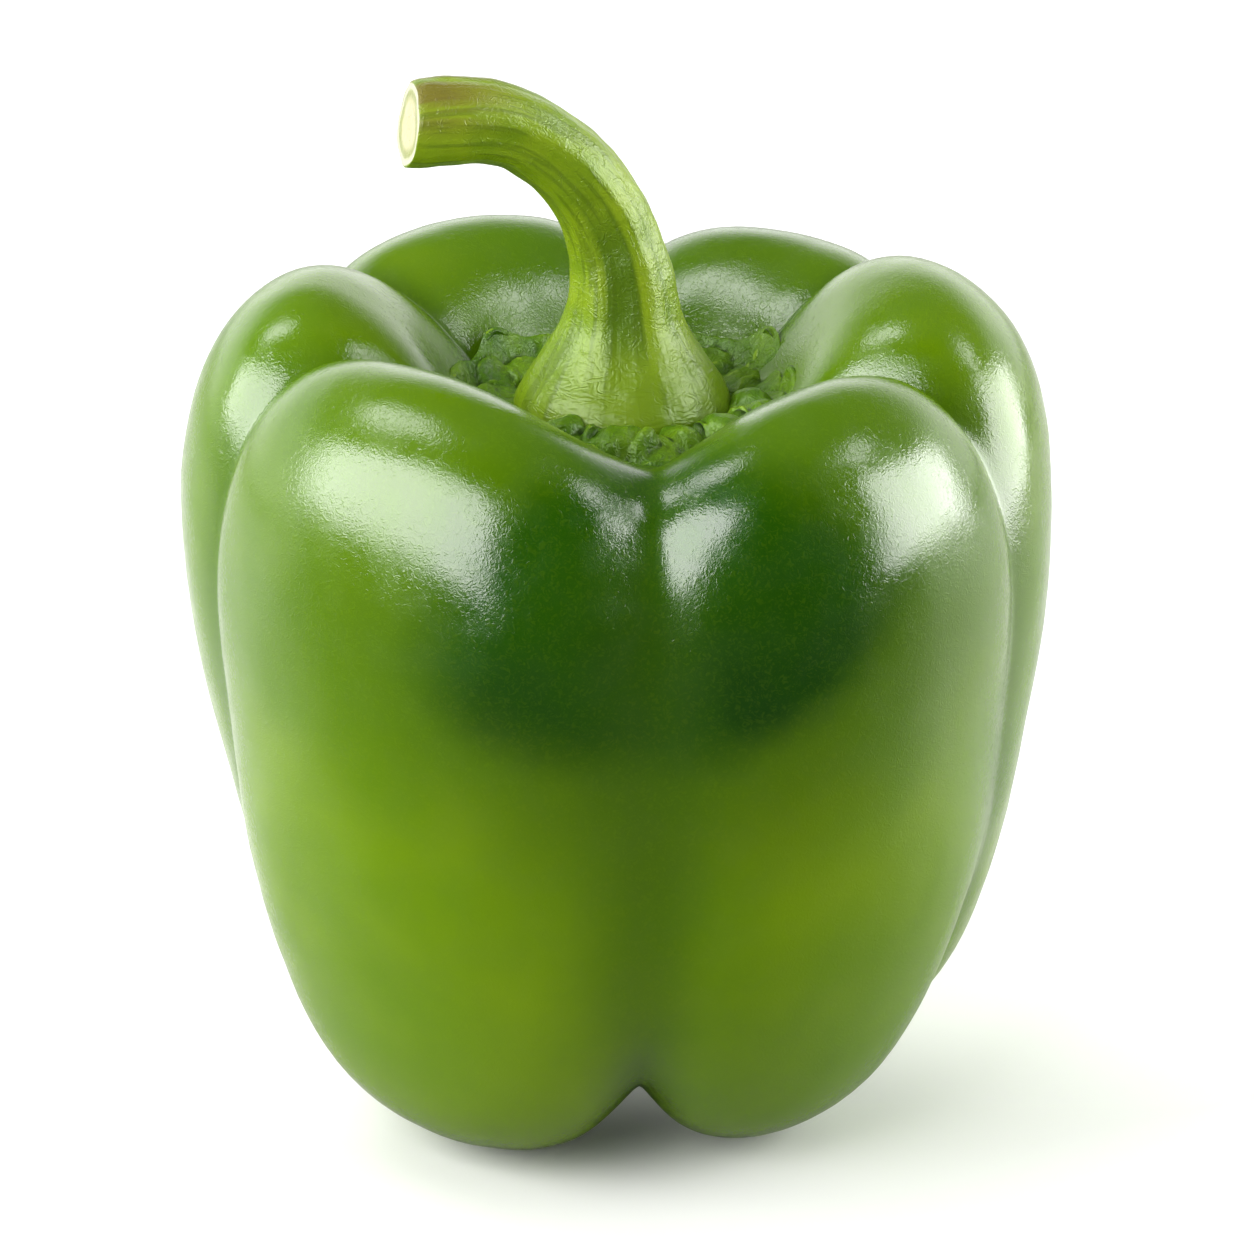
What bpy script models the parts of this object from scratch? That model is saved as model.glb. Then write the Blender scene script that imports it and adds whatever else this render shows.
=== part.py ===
"""A blocky six-lobed bell pepper, standing on its own lobes.

Three closed solids grow round one upright axis: the fruit, the calyx that sits in
the fruit's crown, and the stem that rises from the calyx and hooks over to its cut
end. +Z is up, -Y is the side where the two largest lobes meet, and the origin is the
middle of the whole object's box, on the surface that it stands on.
"""

import math
from collections import namedtuple

import bmesh
import bpy
from mathutils import Vector

MM = 0.001

# Driving dimensions, in metres.
GIRTH_RADIUS = 44.0 * MM  # from the axis to the fullest part of a lobe
SHOULDER_HEIGHT = 83.0 * MM  # from the table to the top of a shoulder
CALYX_RADIUS = 16.2 * MM  # between its points
STEM_RADIUS = 4.2 * MM  # half way along
CONTACT_GAP = 0.3 * MM  # left between pieces that touch
FOOT_FLATTENING = 0.4 * MM  # how far a lobe's tip is pressed flat by the table

# How finely the solids are drawn.
COLUMNS_PER_LOBE = 13
FRUIT_RINGS = 42
CALYX_COLUMNS_PER_LOBE = 10
CALYX_RINGS = 12
STEM_STEPS = 26
STEM_BEVEL_RESOLUTION = 6

# Levels down the fruit, from the middle of the crown to the middle of the base. Each
# gives the crest of a lobe and the bottom of a valley, as (radius, height) in shares
# of GIRTH_RADIUS and SHOULDER_HEIGHT.
Level = namedtuple("Level", "lobe valley")
LEVELS = (
    Level((0.000, 0.843), (0.000, 0.843)),
    Level((0.159, 0.843), (0.159, 0.843)),
    Level((0.318, 0.843), (0.318, 0.843)),
    Level((0.395, 0.896), (0.395, 0.863)),
    Level((0.484, 0.964), (0.500, 0.895)),
    Level((0.670, 1.017), (0.659, 0.923)),
    Level((0.850, 0.975), (0.800, 0.887)),
    Level((0.961, 0.887), (0.882, 0.812)),
    Level((1.011, 0.769), (0.920, 0.699)),
    Level((0.991, 0.595), (0.911, 0.545)),
    Level((0.941, 0.386), (0.864, 0.367)),
    Level((0.859, 0.196), (0.773, 0.217)),
    Level((0.720, 0.053), (0.636, 0.111)),
    Level((0.468, -0.020), (0.441, 0.058)),
    Level((0.250, 0.019), (0.241, 0.063)),
    Level((0.109, 0.080), (0.109, 0.084)),
    Level((0.000, 0.092), (0.000, 0.092)),
)

# A valley between two lobes: its compass angle at the crown, the girth and the base,
# in degrees from +X, its depth at the crown and further down, as shares of the levels'
# own, and how rounded its bottom is at mid height.
Valley = namedtuple("Valley", "crown girth base crown_depth depth softness")
VALLEYS = (
    Valley(crown=-77, girth=-85, base=-86, crown_depth=1.10, depth=1.15, softness=0.40),
    Valley(crown=-20, girth=-20, base=-23, crown_depth=0.90, depth=0.95, softness=0.04),
    Valley(crown=33, girth=35, base=38, crown_depth=0.42, depth=1.00, softness=0.06),
    Valley(crown=88, girth=88, base=90, crown_depth=0.90, depth=1.10, softness=0.16),
    Valley(crown=150, girth=149, base=144, crown_depth=0.38, depth=1.00, softness=0.06),
    Valley(crown=200, girth=197, base=201, crown_depth=0.90, depth=0.95, softness=0.04),
)
CREASE_SHARPNESS = 0.03

# Lobe i lies between valley i and the next one. Its crest is raised, its waist and its
# heel (half way down, and just above the foot) pushed out, its foot lifted off the
# table, and the foot drawn in towards the axis by these, in metres. Its lean is how
# far its ridge strays towards the next valley, as a share of its width.
Lobe = namedtuple("Lobe", "crest waist heel lift tuck lean")
LOBES = (
    Lobe(-0.8 * MM, -1.6 * MM, 2.0 * MM, 0.0, 2.0 * MM, 0.07),
    Lobe(1.5 * MM, -1.5 * MM, 0.5 * MM, 4.5 * MM, 0.0, 0.0),
    Lobe(-1.0 * MM, 0.0, -1.5 * MM, 0.0, 0.0, 0.0),
    Lobe(0.2 * MM, 0.0, -1.0 * MM, 0.0, 0.0, 0.0),
    Lobe(1.5 * MM, -1.0 * MM, -3.0 * MM, 4.0 * MM, 0.0, 0.0),
    Lobe(0.8 * MM, 0.0, -0.6 * MM, 0.0, 0.0, -0.05),
)

# The points that guide the stem's centre line from the calyx to the cut end, as (x, y,
# height above the calyx's seat, radius as a share of STEM_RADIUS).
SEAT_HEIGHT = 70.0 * MM
CALYX_THICKNESS = 2.4 * MM
StemPoint = namedtuple("StemPoint", "x y rise radius")
STEM = (
    StemPoint(0.5 * MM, 0.0, 3.1 * MM, 2.45),
    StemPoint(0.5 * MM, 0.0, 7.6 * MM, 2.00),
    StemPoint(0.5 * MM, 0.0, 12.0 * MM, 1.31),
    StemPoint(0.3 * MM, 0.0, 16.3 * MM, 1.21),
    StemPoint(-0.5 * MM, -0.2 * MM, 20.6 * MM, 1.06),
    StemPoint(-2.3 * MM, -0.6 * MM, 24.6 * MM, 0.99),
    StemPoint(-4.8 * MM, -1.2 * MM, 28.1 * MM, 0.94),
    StemPoint(-7.9 * MM, -2.0 * MM, 31.0 * MM, 0.92),
    StemPoint(-11.6 * MM, -3.0 * MM, 33.0 * MM, 0.95),
    StemPoint(-15.8 * MM, -4.1 * MM, 33.4 * MM, 1.03),
    StemPoint(-20.0 * MM, -5.2 * MM, 33.5 * MM, 0.93),
)


def between(low, high, share):
    return low + (high - low) * share


def ease(share):
    """0 to 1 with no slope at either end."""
    return share * share * (3 - 2 * share)


def hump(value, middle, reach):
    """1 at middle, falling smoothly to 0 at reach to either side."""
    offset = abs(value - middle) / reach
    return (1 - offset * offset) ** 2 if offset < 1 else 0.0


def smooth_curve(points, share, before, after):
    """The cubic B-spline that points guide, at share from 0 to 1 of its length.

    before and after are the guide points just outside its two ends.
    """
    guides = [before, *points, after]
    place = share * (len(points) - 1)
    first = min(int(place), len(points) - 2)
    f = place - first
    weights = ((1 - f) ** 3, 3 * f**3 - 6 * f**2 + 4, 1 + 3 * f + 3 * f**2 - 3 * f**3, f**3)
    near = guides[first : first + 4]
    return [sum(w * p[i] for w, p in zip(weights, near)) / 6 for i in range(len(points[0]))]


def outline(side, share):
    """(radius, height) on the meridian of a lobe's crest or a valley's bottom."""
    points = [getattr(level, side) for level in LEVELS]
    mirrored = [(-points[i][0], points[i][1]) for i in (1, -2)]
    radius, height = smooth_curve(points, share, *mirrored)
    return radius * GIRTH_RADIUS, height * SHOULDER_HEIGHT


def valley_angle(number, share):
    """The compass angle of a valley at this share of the way down, in degrees."""
    valley = VALLEYS[number % len(VALLEYS)]
    turn = 360 * (number // len(VALLEYS))
    if share < 0.5:
        return turn + between(valley.crown, valley.girth, ease(share * 2))
    return turn + between(valley.girth, valley.base, ease(share * 2 - 1))


def valley_depth(valley, share):
    """The depth at the crown, turning to the depth of the sides below the shoulder."""
    below = min(max((share - 0.30) / 0.20, 0.0), 1.0)
    return between(valley.crown_depth, valley.depth, ease(below))


def lobe_fullness(across, share, softness):
    """1 on the crest of a lobe and 0 in the valleys at its sides.

    across runs from 0 to 1 over the lobe. The valleys are creases near the crown and
    the base, and are rounded by their softness at mid height.
    """
    rounding = CREASE_SHARPNESS + softness * hump(share, 0.57, 0.28)
    inward = 1 - abs(2 * across - 1)
    full = math.hypot(1, rounding) - rounding
    off_crest = 1 - (math.hypot(inward, rounding) - rounding) / full
    return 1 - 0.7 * off_crest**2 - 0.3 * off_crest**4


def fruit_point(number, across, share):
    """The point on the fruit across lobe number, this share of the way down."""
    here, there = VALLEYS[number], VALLEYS[(number + 1) % len(VALLEYS)]
    depth = between(valley_depth(here, share), valley_depth(there, share), ease(across))
    softness = between(here.softness, there.softness, ease(across))
    lobe_r, lobe_z = outline("lobe", share)
    valley_r, valley_z = outline("valley", share)
    valley_r = between(lobe_r, valley_r, depth)
    valley_z = between(lobe_z, valley_z, depth)

    lobe = LOBES[number]
    lobe_r += lobe.waist * hump(share, 0.60, 0.20) + lobe.heel * hump(share, 0.75, 0.20)
    lobe_r -= lobe.tuck * hump(share, 0.82, 0.16)
    lobe_z += lobe.crest * hump(share, 0.34, 0.26) + lobe.lift * hump(share, 0.80, 0.24)
    leant = across - lobe.lean * math.sin(math.pi * across)
    fullness = lobe_fullness(leant, share, softness)
    radius = between(valley_r, lobe_r, fullness)
    height = between(valley_z, lobe_z, fullness)
    angle = between(valley_angle(number, share), valley_angle(number + 1, share), across)
    turned = math.radians(angle)
    return Vector((radius * math.cos(turned), radius * math.sin(turned), height))


def crowd_to_valleys(across):
    """Draws the columns of a lobe towards its two valleys, where it curves most."""
    return across - 0.09 * math.sin(math.tau * across)


def sphere_place(co, columns_per_lobe):
    """(lobe number, across, share down) of a point on a unit sphere."""
    share = math.acos(max(-1.0, min(1.0, co.z / co.length))) / math.pi
    columns = columns_per_lobe * len(LOBES)
    column = round(math.atan2(co.y, co.x) / math.tau * columns) % columns
    number, within = divmod(column, columns_per_lobe)
    return number, crowd_to_valleys(within / columns_per_lobe), share


def new_object(name, mesh, collection, material):
    mesh.materials.append(material)
    piece = bpy.data.objects.new(name, mesh)
    collection.objects.link(piece)
    return piece


def shaped_sphere(name, columns_per_lobe, rings, place_of):
    """A mesh made by moving each point of a UV sphere to place_of its place."""
    shape = bmesh.new()
    bmesh.ops.create_uvsphere(
        shape, u_segments=columns_per_lobe * len(LOBES), v_segments=rings, radius=1.0
    )
    for vertex in shape.verts:
        vertex.co = place_of(*sphere_place(vertex.co, columns_per_lobe))
    mesh = bpy.data.meshes.new(name)
    shape.to_mesh(mesh)
    shape.free()
    mesh.shade_smooth()
    return mesh


def press_flat(piece, height, cutters):
    """Cuts the piece off level at this height, as the table presses its feet flat."""
    depth = 20 * MM
    width = 4 * GIRTH_RADIUS
    shape = bmesh.new()
    bmesh.ops.create_cube(shape, size=1.0)
    bmesh.ops.scale(shape, vec=(width, width, depth), verts=shape.verts)
    bmesh.ops.translate(shape, vec=(0, 0, height - depth / 2), verts=shape.verts)
    mesh = bpy.data.meshes.new("table_block")
    shape.to_mesh(mesh)
    shape.free()
    block = bpy.data.objects.new("table_block", mesh)
    block.hide_render = True
    block.display_type = "WIRE"
    cutters.objects.link(block)
    cut = piece.modifiers.new("rests_on_table", "BOOLEAN")
    cut.operation = "DIFFERENCE"
    cut.object = block


def make_fruit(collection, cutters, material):
    mesh = shaped_sphere("fruit", COLUMNS_PER_LOBE, FRUIT_RINGS, fruit_point)
    fruit = new_object("fruit", mesh, collection, material)
    lowest = min(vertex.co.z for vertex in mesh.vertices)
    press_flat(fruit, lowest + FOOT_FLATTENING, cutters)
    return fruit, lowest + FOOT_FLATTENING


def calyx_point(number, across, share):
    """The point on the calyx, a thin dish whose points lie along the valleys."""
    angle = between(valley_angle(number, 0), valley_angle(number + 1, 0), across)
    turned = math.radians(angle)
    polar = share * math.pi
    outward = math.sin(polar)
    pointed = abs(2 * across - 1) ** 4
    rim = CALYX_RADIUS * (1 + 0.09 * pointed)
    rise = (2.2 + 1.6 * pointed) * MM * outward**5
    half = math.copysign(abs(math.cos(polar)) ** 0.6, math.cos(polar)) * CALYX_THICKNESS / 2
    radius = rim * outward
    height = SEAT_HEIGHT + CONTACT_GAP + CALYX_THICKNESS / 2 + half + rise
    return Vector((radius * math.cos(turned), radius * math.sin(turned), height))


def make_calyx(collection, material):
    mesh = shaped_sphere("calyx", CALYX_COLUMNS_PER_LOBE, CALYX_RINGS, calyx_point)
    return new_object("calyx", mesh, collection, material)


def stem_point(share):
    """(x, y, height, radius) on the stem's centre line."""
    ends = [[2 * a - b for a, b in zip(STEM[i], STEM[j])] for i, j in ((0, 1), (-1, -2))]
    x, y, rise, radius = smooth_curve(STEM, share, *ends)
    return x, y, SEAT_HEIGHT + rise, radius * STEM_RADIUS


def make_stem(collection, material):
    """A tube along the centre line, made a mesh so that its caps are welded on."""
    curve = bpy.data.curves.new("stem_line", "CURVE")
    curve.dimensions = "3D"
    curve.bevel_depth = 1.0
    curve.bevel_resolution = STEM_BEVEL_RESOLUTION
    curve.use_fill_caps = True
    spline = curve.splines.new("POLY")
    spline.points.add(STEM_STEPS)
    for step, point in enumerate(spline.points):
        x, y, height, radius = stem_point(step / STEM_STEPS)
        point.co = (x, y, height, 1)
        point.radius = radius
    line = bpy.data.objects.new("stem_line", curve)
    collection.objects.link(line)
    bpy.context.view_layer.update()

    graph = bpy.context.evaluated_depsgraph_get()
    mesh = bpy.data.meshes.new_from_object(line.evaluated_get(graph))
    bpy.data.objects.remove(line)
    shape = bmesh.new()
    shape.from_mesh(mesh)
    bmesh.ops.remove_doubles(shape, verts=shape.verts, dist=0.01 * MM)
    shape.to_mesh(mesh)
    shape.free()
    mesh.materials.clear()
    mesh.shade_smooth()
    return new_object("stem", mesh, collection, material)


def principled(name, colour, roughness):
    material = bpy.data.materials.new(name)
    material.use_nodes = True
    shader = material.node_tree.nodes["Principled BSDF"]
    shader.inputs["Base Color"].default_value = (*colour, 1)
    shader.inputs["Roughness"].default_value = roughness
    shader.inputs["Metallic"].default_value = 0
    material.diffuse_color = (*colour, 1)
    return material


def set_on_origin(pieces, table_height):
    """Moves the pieces so that the middle of their box is over the origin."""
    bpy.context.view_layer.update()
    corners = [piece.matrix_world @ v.co for piece in pieces for v in piece.data.vertices]
    middle = [(min(c[i] for c in corners) + max(c[i] for c in corners)) / 2 for i in (0, 1)]
    for piece in pieces:
        piece.location -= Vector((*middle, table_height))


def new_collection(name):
    collection = bpy.data.collections.new(name)
    bpy.context.scene.collection.children.link(collection)
    return collection


def main():
    for old in list(bpy.data.objects):
        bpy.data.objects.remove(old)
    pepper = new_collection("bell_pepper")
    cutters = new_collection("cutters")
    fruit, table_height = make_fruit(
        pepper, cutters, principled("fruit_skin", (0.11, 0.24, 0.012), 0.25)
    )
    calyx = make_calyx(pepper, principled("calyx_skin", (0.06, 0.17, 0.015), 0.5))
    stem = make_stem(pepper, principled("stem_skin", (0.24, 0.36, 0.03), 0.45))
    set_on_origin([fruit, calyx, stem], table_height)
    for block in cutters.objects:
        block.location = fruit.location


main()
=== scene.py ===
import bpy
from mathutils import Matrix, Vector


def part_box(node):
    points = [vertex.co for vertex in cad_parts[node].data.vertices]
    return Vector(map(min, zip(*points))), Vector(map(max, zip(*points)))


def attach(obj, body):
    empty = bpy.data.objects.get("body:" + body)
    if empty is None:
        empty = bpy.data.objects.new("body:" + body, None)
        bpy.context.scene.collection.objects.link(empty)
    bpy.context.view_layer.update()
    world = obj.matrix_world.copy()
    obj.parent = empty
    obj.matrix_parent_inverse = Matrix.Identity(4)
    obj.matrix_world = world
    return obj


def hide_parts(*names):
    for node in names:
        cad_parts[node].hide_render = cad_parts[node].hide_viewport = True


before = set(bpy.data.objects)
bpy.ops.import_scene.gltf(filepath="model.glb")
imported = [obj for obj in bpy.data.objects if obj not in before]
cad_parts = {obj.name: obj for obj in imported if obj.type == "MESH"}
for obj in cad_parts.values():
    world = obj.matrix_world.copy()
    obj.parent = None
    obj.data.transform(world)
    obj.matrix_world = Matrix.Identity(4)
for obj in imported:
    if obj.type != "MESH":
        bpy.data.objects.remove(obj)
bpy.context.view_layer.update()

# %% [markdown]
# # A green bell pepper
# The frame holds three plain solids: the fruit, the calyx in its crown and the stem.
# Each gives the right size and place, and here each is replaced by a piece with the
# real shape and skin: creased valleys and dented lobes, a lumpy calyx with a curled
# rim, and a ribbed stem with a cut end. Lengths are in metres, so MM turns millimetres
# into them.

# %% Names and the sizes to keep to
import math

import bmesh
import bpy
from mathutils import Matrix, Vector

MM = 0.001
for node in ("fruit", "calyx", "stem"):
    low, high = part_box(node)
    print(node, "is", [round(side / MM, 1) for side in high - low], "mm")

# %% [markdown]
# # Choosing by hand, in code
# An edit operator acts on what is selected. By hand the mouse selects, and here a short
# function does, from the numbers of the points or from a test of where they are.
# Everything is deselected first, because a new primitive comes in selected all over.
# Without a window, the rotate operator turns the other way, so `turn` gives it the
# angle with its sign changed, and the point to turn about.


# %% Helpers for editing
def start_edit(piece):
    bpy.ops.object.select_all(action="DESELECT")
    piece.select_set(True)
    bpy.context.view_layer.objects.active = piece
    bpy.ops.object.mode_set(mode="EDIT")
    bpy.ops.mesh.select_mode(type="VERT")
    bpy.ops.mesh.select_all(action="DESELECT")


def end_edit():
    bpy.ops.object.mode_set(mode="OBJECT")


def choose(piece, test):
    """Selects the points that pass the test, and says how many there are."""
    mesh = bmesh.from_edit_mesh(piece.data)
    for point in mesh.verts:
        point.select = test(point)
    mesh.select_flush_mode()
    bmesh.update_edit_mesh(piece.data, loop_triangles=False, destructive=False)
    return sum(point.select for point in mesh.verts)


def choose_numbers(piece, numbers):
    wanted = set(numbers)
    return choose(piece, lambda point: point.index in wanted)


def turn(angle, axis="Z", about=(0, 0, 0)):
    bpy.ops.transform.rotate(value=-angle, orient_axis=axis, center_override=about)


print("still selected from loading:", len(bpy.context.selected_objects))

# %% [markdown]
# # Modifiers and measures
# Smoothing, thickening and denting a whole mesh is what modifiers are for. Each is put
# on with its settings and applied at once, so that the next step works on its result.
# The soft pull is the shape of most changes here: full at its middle, none at its edge.


# %% Helpers for whole pieces
def apply_modifier(piece, kind, **settings):
    bpy.ops.object.select_all(action="DESELECT")
    piece.select_set(True)
    bpy.context.view_layer.objects.active = piece
    modifier = piece.modifiers.new(kind.lower(), kind)
    for name, value in settings.items():
        setattr(modifier, name, value)
    bpy.ops.object.modifier_apply(modifier=modifier.name)


def smooth_over(piece, levels):
    apply_modifier(piece, "SUBSURF", levels=levels, render_levels=levels)


def size_of(piece):
    sides = [[point.co[i] for point in piece.data.vertices] for i in range(3)]
    return Vector(map(min, sides)), Vector(map(max, sides))


def soft_pull(off):
    """1 in the middle, 0 from one width away on, and smooth between."""
    return (1 - off * off) ** 2 if off < 1 else 0.0


print("half way out, a soft pull has", soft_pull(0.5), "of its strength")

# %% [markdown]
# # The fruit: a cage from a sphere
# A pepper could be sculpted, or turned like a vase and then dented. It is made here as
# a coarse cage from a UV sphere, because the sphere's columns run from the crown to the
# base just as the lobes do. Six columns make one lobe, and each ring is one level. A
# Subdivision Surface then runs smoothly past the cage, so few points give a full shape.
# Each ring of the sphere becomes one level of the outline: out of the crown, over the
# shoulder, down the side, round the foot and up into the base.

# %% The outline, level by level
COLUMNS_PER_LOBE = 6
LOBES = 6
COLUMNS = COLUMNS_PER_LOBE * LOBES
# Smoothing draws the rings in a little, so every radius is made this much larger.
SMOOTHING_LOSS = 1.008
# One row for each ring: radius and height of the ridge, then of a valley, in mm.
LEVELS = [
    (7.0, 70.0, 7.0, 70.0),
    (14.0, 70.0, 14.0, 70.0),
    (17.4, 74.4, 17.4, 71.6),
    (21.3, 80.0, 22.0, 74.3),
    (29.5, 84.4, 29.0, 76.6),
    (37.4, 80.9, 35.2, 73.6),
    (42.3, 73.6, 38.8, 67.4),
    (44.5, 63.8, 40.5, 58.0),
    (43.6, 49.4, 40.1, 45.2),
    (41.4, 32.0, 38.0, 30.5),
    (37.8, 16.3, 34.0, 18.0),
    (31.7, 4.4, 28.0, 9.2),
    (20.6, -1.7, 19.4, 4.8),
    (11.0, 1.6, 10.6, 5.2),
    (4.8, 6.6, 4.8, 7.0),
]
CROWN_HEIGHT, BASE_HEIGHT = 70.0 * MM, 7.6 * MM
print(len(LEVELS), "levels, the widest", max(level[0] for level in LEVELS), "mm from the axis")

# %% [markdown]
# # Numbering the cage
# A sphere's points come in no order that shows. While it is still round, the direction
# of each point from the middle tells its ring and its column, and these are kept with
# the point's number. After that any point can be found again, however far it has moved.

# %% The sphere and its numbers
SPHERE_RADIUS = 40 * MM
SPHERE_MIDDLE = Vector((0, 0, SPHERE_RADIUS))

bpy.ops.mesh.primitive_uv_sphere_add(
    segments=COLUMNS, ring_count=len(LEVELS) + 1, radius=SPHERE_RADIUS, location=SPHERE_MIDDLE
)
fruit = bpy.context.object
fruit.name = "pepper_fruit"
bpy.ops.object.transform_apply(location=True)


def number_cage(piece):
    """{(ring, column): number of the point}, while the piece is still a round sphere."""
    numbers = {}
    for point in piece.data.vertices:
        x, y, z = point.co - SPHERE_MIDDLE
        from_top = math.acos(max(-1, min(1, z / SPHERE_RADIUS)))
        ring = round(from_top / math.pi * (len(LEVELS) + 1))
        column = round(math.atan2(y, x) / math.tau * COLUMNS) % COLUMNS
        numbers[ring, column if 0 < ring <= len(LEVELS) else 0] = point.index
    return numbers


cage = number_cage(fruit)
print("cage of", len(cage), "points")

# %% [markdown]
# # Giving the cage its outline
# Every ring is now scaled and lifted to the outline of a lobe's ridge, as if all of the
# pepper were ridge. The same move, on a few points of a ring, makes the valleys later.


# %% Each ring at its radius and height
def cage_place(piece, ring, column):
    """The radius and height of one point of the cage as it is now."""
    mesh = bmesh.from_edit_mesh(piece.data)
    mesh.verts.ensure_lookup_table()
    x, y, z = mesh.verts[cage[ring, column % COLUMNS]].co
    return math.hypot(x, y), z


def reshape(piece, ring, columns, radius, height):
    """Scales these points of one ring to the radius and lifts them to the height."""
    old_radius, old_height = cage_place(piece, ring, columns[0])
    choose_numbers(piece, [cage[ring, column % COLUMNS] for column in columns])
    share = radius / old_radius
    bpy.ops.transform.resize(value=(share, share, 1), center_override=(0, 0, 0))
    bpy.ops.transform.translate(value=(0, 0, height - old_height))


start_edit(fruit)
for ring, (radius, height, _, _) in enumerate(LEVELS, start=1):
    reshape(fruit, ring, range(COLUMNS), radius * SMOOTHING_LOSS * MM, height * MM)
for ring, height in ((0, CROWN_HEIGHT), (len(LEVELS) + 1, BASE_HEIGHT)):
    choose_numbers(fruit, [cage[ring, 0]])
    bpy.ops.transform.translate(value=(0, 0, height - cage_place(fruit, ring, 0)[1]))
end_edit()
print("cage reaches", [round(side / MM, 1) for side in size_of(fruit)[1]], "mm")

# %% [markdown]
# # Six valleys
# A pepper's lobes are its seed chambers, and the walls between them hold the skin in
# like strings round a cushion. So each valley's column is pulled in towards the axis
# and down, and the columns beside it follow by less. No two valleys of a real pepper
# are alike: each has its own depth round the crown and down the side.

# %% Pulling the valleys in
# (compass angle in degrees, depth round the crown, depth down the side)
VALLEYS = [
    (-85, 1.10, 1.35),
    (-20, 0.90, 1.00),
    (35, 0.42, 1.05),
    (88, 0.90, 1.15),
    (149, 0.38, 1.05),
    (197, 0.60, 1.00),
]
# How full the lobe is so many columns from a valley: 0 in it, 1 on the ridge. The front
# valley is broader inside the crown, most of all on its left.
FULLNESS = {-2: 0.92, -1: 0.63, 0: 0.0, 1: 0.63, 2: 0.92}
FRONT_FULLNESS = {-2: 0.66, -1: 0.24, 0: 0.0, 1: 0.38, 2: 0.80}
FRONT_SHARES = {3: 1.0, 4: 1.0, 5: 0.7, 6: 0.15}  # how broad it is at each ring
# A valley passes from its crown depth to its side depth over these rings.
SHOULDER_RING, SHOULDER_RINGS = 4.8, 3.2


def valley_depth(valley, ring):
    _, crown, side = VALLEYS[valley]
    below = min(max((ring - SHOULDER_RING) / SHOULDER_RINGS, 0), 1)
    return crown + (side - crown) * below * below * (3 - 2 * below)


start_edit(fruit)
for valley in range(LOBES):
    middle = valley * COLUMNS_PER_LOBE
    for ring, (ridge_r, ridge_z, deep_r, deep_z) in enumerate(LEVELS, start=1):
        depth = valley_depth(valley, ring)
        broad = FRONT_SHARES.get(ring, 0.0) if valley == 0 else 0.0
        for away, full in FULLNESS.items():
            share = depth * (1 - full - (FRONT_FULLNESS[away] - full) * broad)
            radius = ridge_r + (deep_r - ridge_r) * share
            height = ridge_z + (deep_z - ridge_z) * share
            reshape(fruit, ring, [middle + away], radius * SMOOTHING_LOSS * MM, height * MM)
end_edit()
print("valleys pulled in:", LOBES)

# %% [markdown]
# # Lobes that differ
# The two front lobes are broad, and with the back ones they carry the pepper. The side
# lobes stand a little higher at the shoulder and end short of the table. Each change is
# one grab of a ridge: its points at one level and, by less, at the levels beside it and
# in the columns beside it, move out and up.

# %% Grabbing the ridges
RIDGE_SHARES = {0: 1.0, 1: 0.92, 2: 0.63}  # of a grab, so many columns from the ridge


def grab_ridge(piece, lobe, level, out, up, reach):
    """Moves the ridge of a lobe near this level out from the axis and up, in mm."""
    ridge = lobe * COLUMNS_PER_LOBE + COLUMNS_PER_LOBE // 2
    for ring in range(1, len(LEVELS) + 1):
        strength = soft_pull(abs(ring - level) / reach)
        if strength == 0:
            continue
        for away, share in RIDGE_SHARES.items():
            for column in {ridge - away, ridge + away}:
                radius, height = cage_place(piece, ring, column)
                amount = strength * share * MM
                reshape(piece, ring, [column], radius + out * amount, height + up * amount)


# (lobe, level, out, up, reach); lobe 0 is the front right one, and they go anticlockwise
GRABS = [
    (0, 5.4, 0.0, -1.3, 4.2),
    (0, 9.8, -2.7, 0.0, 3.2),
    (0, 12.0, 1.5, 0.0, 3.2),
    (0, 13.1, -2.0, 0.0, 2.6),
    (1, 5.4, 0.0, 1.5, 4.2),
    (1, 9.6, -1.5, 0.0, 3.2),
    (1, 12.8, 0.5, 4.5, 3.8),
    (2, 5.4, 0.0, -1.8, 4.2),
    (2, 12.0, -1.5, 0.0, 3.2),
    (3, 5.4, 0.0, -0.5, 4.2),
    (3, 12.0, -1.0, 0.0, 3.2),
    (4, 5.4, 0.0, 1.5, 4.2),
    (4, 9.6, -1.0, 0.0, 3.2),
    (4, 12.0, -3.0, 0.0, 3.2),
    (4, 12.8, 0.0, 4.0, 3.8),
    (5, 5.4, 0.0, 0.3, 4.2),
    (5, 12.0, 0.4, -0.3, 3.2),
]
start_edit(fruit)
for lobe, level, out, up, reach in GRABS:
    grab_ridge(fruit, lobe, level, out, up, reach)
end_edit()
print("grabs:", len(GRABS))

# %% [markdown]
# # Turning the columns to their places
# The sphere's columns are evenly spaced, and a pepper's lobes aren't: the front two are
# widest. Each column is turned about the axis to its real angle, a little nearer to the
# valleys than even spacing would have it, because the skin bends most there. The ridges
# of the front lobes lean away from each other, and one at the back leans too. Last, the
# front valley drifts to the right as it climbs into the crown.

# %% Turning
LEANS = [0.06, 0, -0.06, 0, 0, -0.05]  # of each ridge, as a share of its lobe's width
CROWDING = 0.05  # how much the columns crowd towards the valleys, as such a share
FRONT_DRIFT = [6, 6, 5, 3, 1.5, 0.5, 0]  # degrees, from the innermost ring outwards
DRIFT_SHARES = {0: 1, 1: 0.7, 2: 0.3}  # of the columns so far from the valley


def column_angle(column):
    lobe, within = divmod(column, COLUMNS_PER_LOBE)
    across = within / COLUMNS_PER_LOBE
    lean = LEANS[lobe] * math.sin(math.pi * across)
    across += lean - CROWDING * math.sin(math.tau * across)
    here = VALLEYS[lobe][0]
    there = VALLEYS[(lobe + 1) % LOBES][0] + (360 if lobe == LOBES - 1 else 0)
    return math.radians(here + (there - here) * across)


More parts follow.
